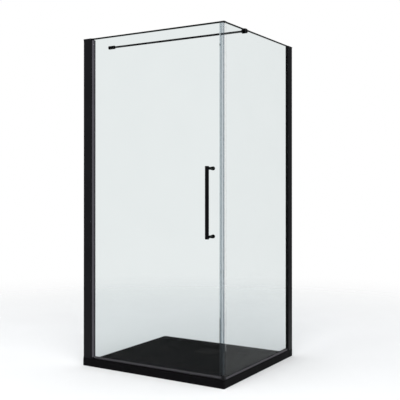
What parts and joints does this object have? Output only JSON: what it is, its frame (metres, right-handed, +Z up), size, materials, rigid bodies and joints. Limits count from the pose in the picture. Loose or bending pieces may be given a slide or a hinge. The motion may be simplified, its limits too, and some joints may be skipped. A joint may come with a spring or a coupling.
{
  "type": "shower enclosure",
  "caption": "Corner shower enclosure: low black tray with a raised front edge, outward pivot glass door with bar handle, fixed glass side panel, wall profiles and a round stay bar.",
  "frame": {"origin": "centre of the tray's underside, on the floor", "axes": "+X along the door from its hinge to the near corner, +Y from the door to the back, +Z up"},
  "size_m": [1.003, 0.955, 2.0123],
  "materials": {
    "tray_resin": "satin cast resin",
    "waste_cover_black": "matte black",
    "profile_black": "matte black powder coat",
    "stile_black": "satin black powder coat",
    "bracket_black": "matte black powder coat",
    "handle_black": "matte black",
    "stay_black": "matte black",
    "door_pane": "clear toughened glass",
    "side_pane": "clear toughened glass",
    "corner_seal_clear": "translucent grey",
    "bottom_seal_grey": "translucent grey",
    "magnet_strip": "matte",
    "gasket_black": "matte",
    "nylon_black": "fine matte",
    "steel_plain": "plain stainless"
  },
  "bodies": {
    "enclosure": {"shower_tray": "tray_resin", "hinge_wall_channel": "profile_black", "hinge_jamb": "profile_black", "side_wall_channel": "profile_black", "side_glazing_profile": "profile_black", "side_bottom_rail": "profile_black", "side_profile_cap": "profile_black", "hinge_top_bracket": "bracket_black", "hinge_foot_bracket": "bracket_black", "stay_bar": "stay_black", "stay_wall_socket": "stay_black", "stay_clamp": "stay_black", "side_glass": "side_pane", "strike_seal": "corner_seal_clear", "strike_magnet": "magnet_strip", "side_glass_gasket": "gasket_black", "side_rail_gaskets": "gasket_black", "hinge_lip_seal": "gasket_black", "stay_clamp_pads": "gasket_black", "hinge_screw_caps": "nylon_black", "side_screw_caps": "nylon_black", "corner_block": "nylon_black", "thrust_washer": "nylon_black", "side_setting_blocks": "nylon_black", "hinge_clamp_screws": "steel_plain", "side_clamp_screws": "steel_plain", "bracket_screws": "steel_plain", "top_pivot_pin": "steel_plain", "foot_pivot_pin": "steel_plain", "stay_grub_screws": "steel_plain", "stay_wall_plate": "steel_plain"},
    "door": {"door_stile": "stile_black", "stile_gasket": "gasket_black", "top_pivot_bearing": "nylon_black", "foot_pivot_bearing": "nylon_black", "door_glass": "door_pane", "door_bottom_seal": "bottom_seal_grey", "door_magnet_seal": "corner_seal_clear", "door_magnet": "magnet_strip", "handle_bar": "handle_black", "handle_posts": "handle_black", "handle_screws": "steel_plain", "handle_washers": "nylon_black", "handle_sleeves": "nylon_black", "handle_inner_caps": "nylon_black"},
    "waste_cover": {"waste_cover": "waste_cover_black"}
  },
  "joints": [
    {"name": "door_swing", "type": "hinge", "parent": "enclosure", "child": "door", "pos_m": [-0.432, -0.432, 1.027], "axis": [0, 0, -1], "range_deg": [0, 90]},
    {"name": "waste_cover_lift", "type": "slide", "parent": "enclosure", "child": "waste_cover", "axis": [0, 0, 1], "range_m": [0, 0.12]}
  ]
}
